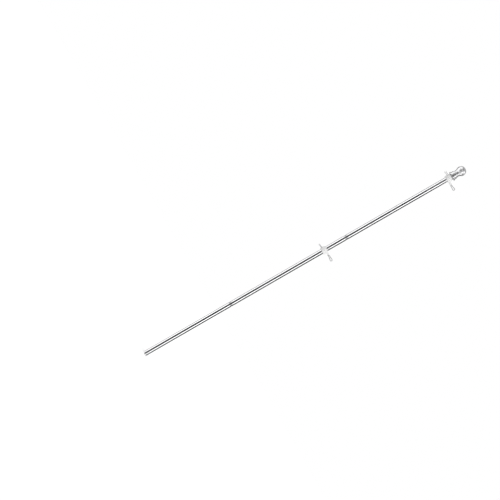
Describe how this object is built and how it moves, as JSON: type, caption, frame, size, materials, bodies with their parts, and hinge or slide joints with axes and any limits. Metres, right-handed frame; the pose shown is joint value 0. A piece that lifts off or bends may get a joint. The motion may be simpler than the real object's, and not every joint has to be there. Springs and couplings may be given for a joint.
{
  "type": "flagpole with turning flag rings",
  "caption": "Slender plug-together flagpole of polished steel tube with a stepped ball finial and turning flag rings, each clamped on the tube and carrying a wire loop.",
  "frame": {"origin": "middle of the flat end of the butt", "axes": "+Z along the pole from the butt to the ball, +X towards the wire loops at rest"},
  "size_m": [0.0857, 0.0404, 1.5],
  "materials": {
    "pole_steel": "polished stainless steel tube",
    "plug_plastic": "moulded white plastic",
    "finial_silver": "silver-plated moulded plastic, mirror bright",
    "stud_steel": "plain steel",
    "ring_plastic": "milky natural nylon, slightly translucent",
    "ring_wire": "drawn stainless spring wire"
  },
  "bodies": {
    "pole": {"bottom_section": "pole_steel", "middle_section": "pole_steel", "top_section": "pole_steel", "butt_plug": "plug_plastic", "finial_base": "finial_silver", "finial_bead": "finial_silver", "finial_ball": "finial_silver", "finial_stud": "stud_steel"},
    "lower_ring": {"lower_ring_sleeve": "ring_plastic", "lower_ring_clamp": "ring_wire", "lower_ring_cover": "ring_plastic", "lower_ring_retainer": "ring_plastic"},
    "lower_rotor": {"lower_ring_rotor": "ring_plastic", "lower_ring_loop": "ring_wire"},
    "upper_ring": {"upper_ring_sleeve": "ring_plastic", "upper_ring_clamp": "ring_wire", "upper_ring_cover": "ring_plastic", "upper_ring_retainer": "ring_plastic"},
    "upper_rotor": {"upper_ring_rotor": "ring_plastic", "upper_ring_loop": "ring_wire"}
  },
  "joints": [
    {"name": "lower_ring_slide", "type": "slide", "parent": "pole", "child": "lower_ring", "axis": [0, 0, 1], "range_m": [-0.3, 0.3]},
    {"name": "lower_rotor_turn", "type": "hinge", "parent": "lower_ring", "child": "lower_rotor", "pos_m": [0, 0, 0.839], "axis": [0, 0, 1], "continuous": true},
    {"name": "upper_ring_slide", "type": "slide", "parent": "pole", "child": "upper_ring", "axis": [0, 0, 1], "range_m": [-0.2, 0]},
    {"name": "upper_rotor_turn", "type": "hinge", "parent": "upper_ring", "child": "upper_rotor", "pos_m": [0, 0, 1.42154], "axis": [0, 0, 1], "continuous": true}
  ]
}
